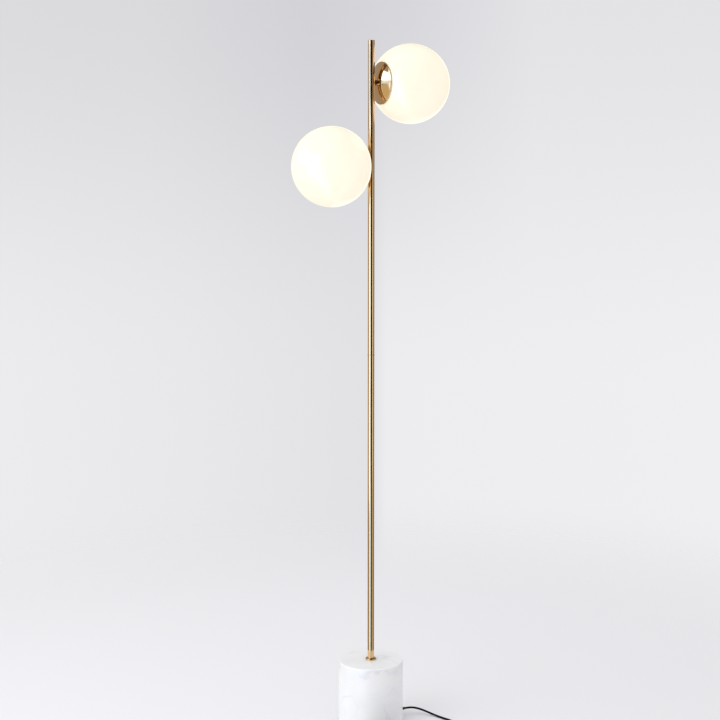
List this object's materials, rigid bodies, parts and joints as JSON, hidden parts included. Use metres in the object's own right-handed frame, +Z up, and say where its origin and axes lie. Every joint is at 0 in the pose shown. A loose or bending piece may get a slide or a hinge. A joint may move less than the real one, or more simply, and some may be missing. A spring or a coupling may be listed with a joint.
{
  "type": "globe floor lamp",
  "caption": "Slim upright floor lamp: opal glass globes on short side arms of a brass pole, standing on a round marble block, with a foot switch on its lead.",
  "frame": {"origin": "on the floor, at the centre of the round block, under the pole", "axes": "+Z up along the pole; +X along the upper arm, and -X along the lower one; the mains lead leaves the block on the +X side"},
  "size_m": [0.402, 0.3075, 1.674],
  "materials": {
    "marble": "satin",
    "felt": "matte",
    "brass": "satin",
    "zinc_steel": "satin",
    "nylon": "satin",
    "lead_pvc": "satin",
    "cord_pvc": "satin",
    "cord_rubber": "matte",
    "tie_fabric": "matte",
    "switch_plastic": "satin",
    "button_plastic": "gloss",
    "contact_brass": "satin",
    "plug_plastic": "satin",
    "pin_nickel": "satin",
    "opal_glass": "gloss",
    "collar_aluminium": "satin",
    "gasket_silicone": "satin",
    "holder_black": "satin",
    "bulb_cap_nickel": "satin",
    "bulb_opal": "satin"
  },
  "bodies": {
    "root": {"base_collar": "brass", "base_nut": "zinc_steel", "base_pad": "felt", "base_threaded_rod": "zinc_steel", "base_washer": "zinc_steel", "cord_bushing": "cord_rubber", "cord_coil": "cord_pvc", "cord_end": "cord_pvc", "cord_run": "cord_pvc", "cord_tail": "cord_pvc", "cord_ties": "tie_fabric", "lead_lower": "lead_pvc", "lead_upper": "lead_pvc", "lower_arm_nipple": "zinc_steel", "lower_arm_stem": "brass", "lower_bulb_cap": "bulb_cap_nickel", "lower_bulb_glass": "bulb_opal", "lower_dish": "brass", "lower_gallery_ring": "brass", "lower_holder_locknut": "zinc_steel", "lower_lampholder": "holder_black", "mains_lead_inner": "cord_pvc", "marble_base": "marble", "plug_body": "plug_plastic", "plug_pin_sleeves": "plug_plastic", "plug_pins": "pin_nickel", "pole_cap": "brass", "pole_foot_insert": "brass", "pole_joint": "brass", "pole_lower": "brass", "pole_upper": "brass", "switch_base": "switch_plastic", "switch_contacts": "contact_brass", "switch_cover": "switch_plastic", "switch_screws": "zinc_steel", "switch_sleeves": "cord_rubber", "switch_spring": "zinc_steel", "terminal_block": "nylon", "upper_arm_nipple": "zinc_steel", "upper_arm_stem": "brass", "upper_bulb_cap": "bulb_cap_nickel", "upper_bulb_glass": "bulb_opal", "upper_dish": "brass", "upper_gallery_ring": "brass", "upper_holder_locknut": "zinc_steel", "upper_lampholder": "holder_black"},
    "switch_button": {"switch_button": "button_plastic"},
    "upper_gasket": {"upper_globe_gasket": "gasket_silicone"},
    "upper_globe": {"upper_globe_glass": "opal_glass", "upper_globe_collar": "collar_aluminium"},
    "lower_gasket": {"lower_globe_gasket": "gasket_silicone"},
    "lower_globe": {"lower_globe_glass": "opal_glass", "lower_globe_collar": "collar_aluminium"}
  },
  "joints": [
    {"name": "switch_press", "type": "slide", "parent": "root", "child": "switch_button", "axis": [0, 0, -1], "range_m": [0, 0.003], "stiffness_N_per_m": 600, "springref_m": -0.002, "deforming": ["switch_spring"]},
    {"name": "upper_globe_travel", "type": "slide", "parent": "root", "child": "upper_gasket", "axis": [1, 0, 0], "range_m": [0, 0.006]},
    {"name": "upper_globe_turn", "type": "hinge", "parent": "upper_gasket", "child": "upper_globe", "pos_m": [0.106, 0, 1.5745], "axis": [1, 0, 0], "range_deg": [0, 360]},
    {"name": "lower_globe_travel", "type": "slide", "parent": "root", "child": "lower_gasket", "axis": [-1, 0, 0], "range_m": [0, 0.006]},
    {"name": "lower_globe_turn", "type": "hinge", "parent": "lower_gasket", "child": "lower_globe", "pos_m": [-0.106, 0, 1.378], "axis": [-1, 0, 0], "range_deg": [0, 360]}
  ],
  "couplings": [
    {"joint": "upper_globe_travel", "follows": "upper_globe_turn", "m_per_rad": 0.00095492},
    {"joint": "lower_globe_travel", "follows": "lower_globe_turn", "m_per_rad": 0.00095492}
  ]
}
